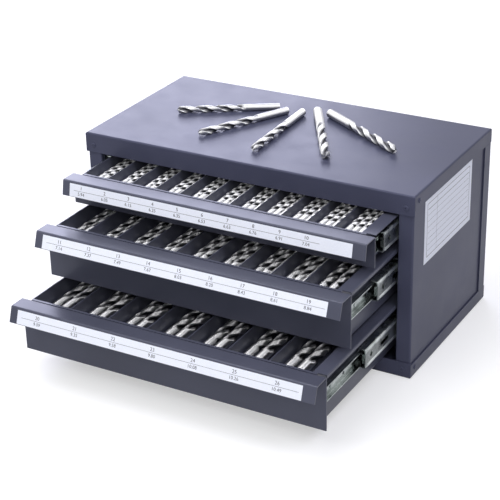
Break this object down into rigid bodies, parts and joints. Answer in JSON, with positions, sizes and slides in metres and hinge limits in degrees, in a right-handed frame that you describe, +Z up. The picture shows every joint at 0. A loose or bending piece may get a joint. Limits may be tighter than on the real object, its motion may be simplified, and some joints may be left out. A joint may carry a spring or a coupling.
{
  "type": "drill bit drawer case",
  "caption": "Small steel case with drawers on ball bearing slides, each drawer divided into labelled bins of drill bits.",
  "frame": {"origin": "centre of the case's footprint, on the surface it stands on", "axes": "+X along the width to the right seen from the front, -Y the way the drawers open, +Z up"},
  "size_m": [0.3768, 0.3697, 0.2076],
  "materials": {
    "case_paint": "satin dark grey powder coat",
    "drawer_paint": "satin dark grey powder coat",
    "zinc_plate": "bright zinc plate",
    "cage_steel": "pressed steel with polished balls",
    "drill_steel": "ground and polished high speed steel",
    "paper": "matt printed paper label"
  },
  "bodies": {
    "case": {"back_panel": "case_paint", "base_tray": "case_paint", "cabinet_member_rivets": "zinc_plate", "case_rivets": "case_paint", "left_side_panel": "case_paint", "left_slide_bracket": "case_paint", "loose_drill_bits": "drill_steel", "right_side_panel": "case_paint", "right_slide_bracket": "case_paint", "side_label": "paper", "top_cover": "case_paint", "bottom_cabinet_member_left": "zinc_plate", "bottom_cabinet_member_right": "zinc_plate", "middle_cabinet_member_left": "zinc_plate", "middle_cabinet_member_right": "zinc_plate", "top_cabinet_member_left": "zinc_plate", "top_cabinet_member_right": "zinc_plate"},
    "bottom_drawer": {"bottom_drawer_front": "drawer_paint", "bottom_drawer_tray": "drawer_paint", "bottom_bin_pan": "drawer_paint", "bottom_bin_dividers": "drawer_paint", "bottom_drawer_label": "paper", "bottom_drill_bits": "drill_steel", "bottom_drawer_member_left": "zinc_plate", "bottom_drawer_member_right": "zinc_plate", "bottom_drawer_member_rivets": "zinc_plate"},
    "bottom_middle_members": {"bottom_middle_member_left": "zinc_plate", "bottom_middle_member_right": "zinc_plate"},
    "bottom_outer_cages": {"bottom_outer_ball_cages": "cage_steel"},
    "bottom_inner_cages": {"bottom_inner_ball_cages": "cage_steel"},
    "middle_drawer": {"middle_drawer_front": "drawer_paint", "middle_drawer_tray": "drawer_paint", "middle_bin_pan": "drawer_paint", "middle_bin_dividers": "drawer_paint", "middle_drawer_label": "paper", "middle_drill_bits": "drill_steel", "middle_drawer_member_left": "zinc_plate", "middle_drawer_member_right": "zinc_plate", "middle_drawer_member_rivets": "zinc_plate"},
    "middle_middle_members": {"middle_middle_member_left": "zinc_plate", "middle_middle_member_right": "zinc_plate"},
    "middle_outer_cages": {"middle_outer_ball_cages": "cage_steel"},
    "middle_inner_cages": {"middle_inner_ball_cages": "cage_steel"},
    "top_drawer": {"top_drawer_front": "drawer_paint", "top_drawer_tray": "drawer_paint", "top_bin_pan": "drawer_paint", "top_bin_dividers": "drawer_paint", "top_drawer_label": "paper", "top_drill_bits": "drill_steel", "top_drawer_member_left": "zinc_plate", "top_drawer_member_right": "zinc_plate", "top_drawer_member_rivets": "zinc_plate"},
    "top_middle_members": {"top_middle_member_left": "zinc_plate", "top_middle_member_right": "zinc_plate"},
    "top_outer_cages": {"top_outer_ball_cages": "cage_steel"},
    "top_inner_cages": {"top_inner_ball_cages": "cage_steel"}
  },
  "joints": [
    {"name": "bottom_drawer_slide", "type": "slide", "parent": "case", "child": "bottom_drawer", "axis": [0, -1, 0], "range_m": [-0.15, 0.02]},
    {"name": "bottom_middle_members_slide", "type": "slide", "parent": "case", "child": "bottom_middle_members", "axis": [0, -1, 0], "range_m": [-0.075, 0.01]},
    {"name": "bottom_outer_cages_slide", "type": "slide", "parent": "case", "child": "bottom_outer_cages", "axis": [0, -1, 0], "range_m": [-0.0375, 0.005]},
    {"name": "bottom_inner_cages_slide", "type": "slide", "parent": "case", "child": "bottom_inner_cages", "axis": [0, -1, 0], "range_m": [-0.1125, 0.015]},
    {"name": "middle_drawer_slide", "type": "slide", "parent": "case", "child": "middle_drawer", "axis": [0, -1, 0], "range_m": [-0.1, 0.07]},
    {"name": "middle_middle_members_slide", "type": "slide", "parent": "case", "child": "middle_middle_members", "axis": [0, -1, 0], "range_m": [-0.05, 0.035]},
    {"name": "middle_outer_cages_slide", "type": "slide", "parent": "case", "child": "middle_outer_cages", "axis": [0, -1, 0], "range_m": [-0.025, 0.0175]},
    {"name": "middle_inner_cages_slide", "type": "slide", "parent": "case", "child": "middle_inner_cages", "axis": [0, -1, 0], "range_m": [-0.075, 0.0525]},
    {"name": "top_drawer_slide", "type": "slide", "parent": "case", "child": "top_drawer", "axis": [0, -1, 0], "range_m": [-0.05, 0.12]},
    {"name": "top_middle_members_slide", "type": "slide", "parent": "case", "child": "top_middle_members", "axis": [0, -1, 0], "range_m": [-0.038, 0.0912]},
    {"name": "top_outer_cages_slide", "type": "slide", "parent": "case", "child": "top_outer_cages", "axis": [0, -1, 0], "range_m": [-0.019, 0.0456]},
    {"name": "top_inner_cages_slide", "type": "slide", "parent": "case", "child": "top_inner_cages", "axis": [0, -1, 0], "range_m": [-0.044, 0.1056]}
  ],
  "couplings": [
    {"joint": "bottom_middle_members_slide", "follows": "bottom_drawer_slide", "ratio": 0.5},
    {"joint": "bottom_outer_cages_slide", "follows": "bottom_drawer_slide", "ratio": 0.25},
    {"joint": "bottom_inner_cages_slide", "follows": "bottom_drawer_slide", "ratio": 0.75},
    {"joint": "middle_middle_members_slide", "follows": "middle_drawer_slide", "ratio": 0.5},
    {"joint": "middle_outer_cages_slide", "follows": "middle_drawer_slide", "ratio": 0.25},
    {"joint": "middle_inner_cages_slide", "follows": "middle_drawer_slide", "ratio": 0.75},
    {"joint": "top_middle_members_slide", "follows": "top_drawer_slide", "ratio": 0.76},
    {"joint": "top_outer_cages_slide", "follows": "top_drawer_slide", "ratio": 0.38},
    {"joint": "top_inner_cages_slide", "follows": "top_drawer_slide", "ratio": 0.88}
  ]
}
